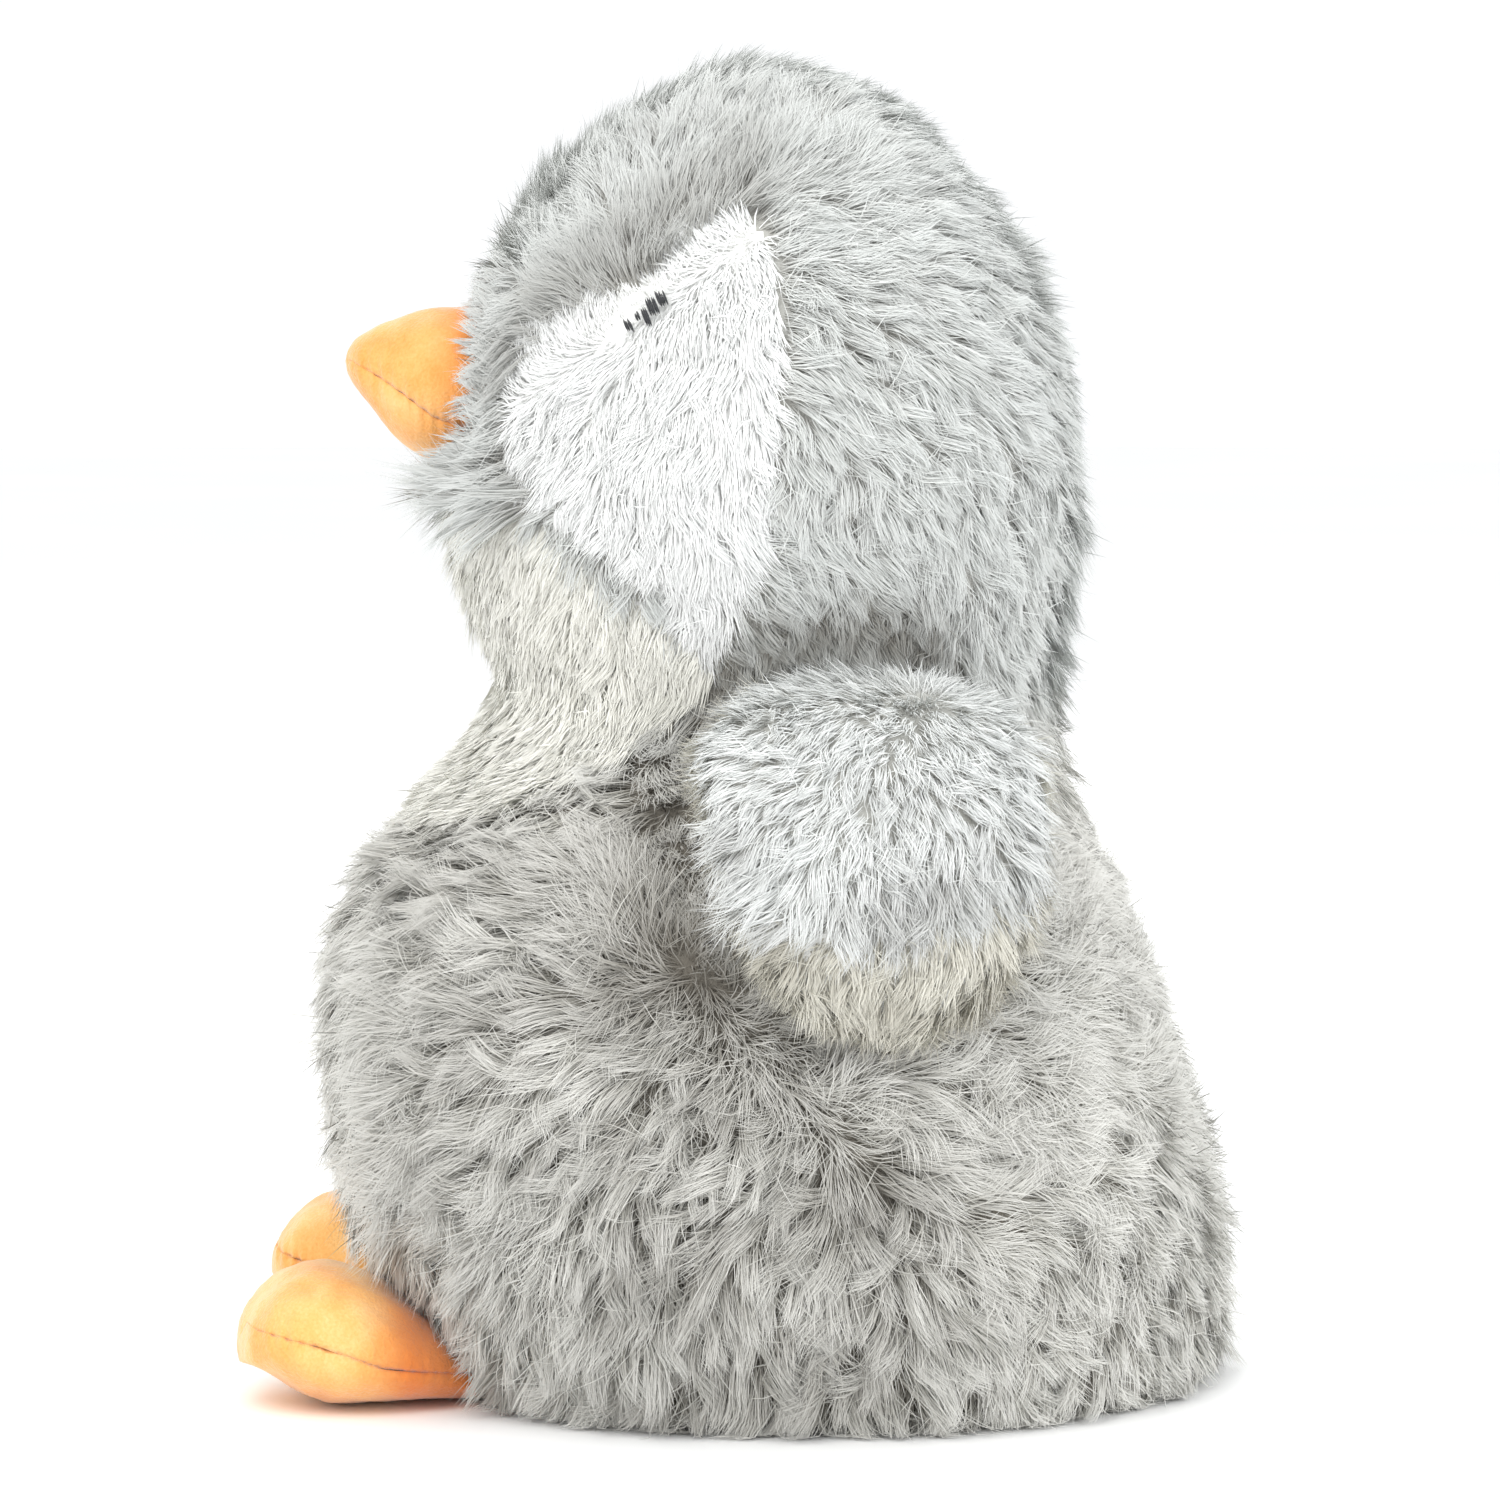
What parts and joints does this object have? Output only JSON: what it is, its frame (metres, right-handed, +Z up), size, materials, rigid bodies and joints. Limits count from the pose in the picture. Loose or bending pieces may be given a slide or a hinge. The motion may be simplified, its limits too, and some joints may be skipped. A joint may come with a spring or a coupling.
{
  "type": "plush penguin",
  "caption": "Sitting plush penguin with long grey fur, white face patches, soft beak and feet, a flat base, and wings that swing at their shoulder seams.",
  "frame": {"origin": "on the surface it sits on, under the middle of the box round the whole toy", "axes": "+Z up, the beak points towards -Y, the toy's own left wing is towards +X"},
  "size_m": [0.2082, 0.2172, 0.291],
  "materials": {
    "grey_fur": "matte",
    "white_fur": "matte",
    "throat_fur": "matte",
    "cream_fur": "matte",
    "base_cloth": "matte",
    "orange_plush": "matte",
    "fibre": "matte",
    "pouch_cloth": "matte",
    "thread": "satin"
  },
  "bodies": {
    "torso": {"crown_gusset": "grey_fur", "head_side_left": "grey_fur", "head_side_right": "grey_fur", "muzzle": "grey_fur", "face_patch_left": "white_fur", "face_patch_right": "white_fur", "throat_bib": "throat_fur", "belly_panel": "grey_fur", "body_side_left": "grey_fur", "body_side_right": "grey_fur", "back_left": "grey_fur", "back_right": "grey_fur", "base_panel": "base_cloth", "head_stuffing": "fibre", "body_stuffing": "fibre", "pellet_pouch": "pouch_cloth", "beak_upper": "orange_plush", "beak_lower": "orange_plush", "beak_stuffing": "fibre", "eye_left": "thread", "eye_right": "thread"},
    "wing_left": {"wing_left_outer": "grey_fur", "wing_left_lining": "cream_fur", "wing_left_stuffing": "fibre"},
    "wing_right": {"wing_right_outer": "grey_fur", "wing_right_lining": "cream_fur", "wing_right_stuffing": "fibre"},
    "foot_left": {"foot_left_upper": "orange_plush", "foot_left_sole": "orange_plush", "foot_left_stuffing": "fibre"},
    "foot_right": {"foot_right_upper": "orange_plush", "foot_right_sole": "orange_plush", "foot_right_stuffing": "fibre"}
  },
  "joints": [
    {"name": "wing_left_swing", "type": "hinge", "parent": "torso", "child": "wing_left", "pos_m": [0.06224, 0.02625, 0.16], "axis": [0.2079, -0.9781, 0], "range_deg": [0, 85]},
    {"name": "wing_right_swing", "type": "hinge", "parent": "torso", "child": "wing_right", "pos_m": [-0.06224, 0.02625, 0.16], "axis": [0.2079, 0.9781, 0], "range_deg": [0, 85]},
    {"name": "foot_left_lift", "type": "hinge", "parent": "torso", "child": "foot_left", "pos_m": [0.044, -0.06388, 0.01], "axis": [-0.9781, -0.2079, 0], "range_deg": [0, 20]},
    {"name": "foot_right_lift", "type": "hinge", "parent": "torso", "child": "foot_right", "pos_m": [-0.044, -0.06388, 0.01], "axis": [-0.9781, 0.2079, 0], "range_deg": [0, 20]}
  ]
}
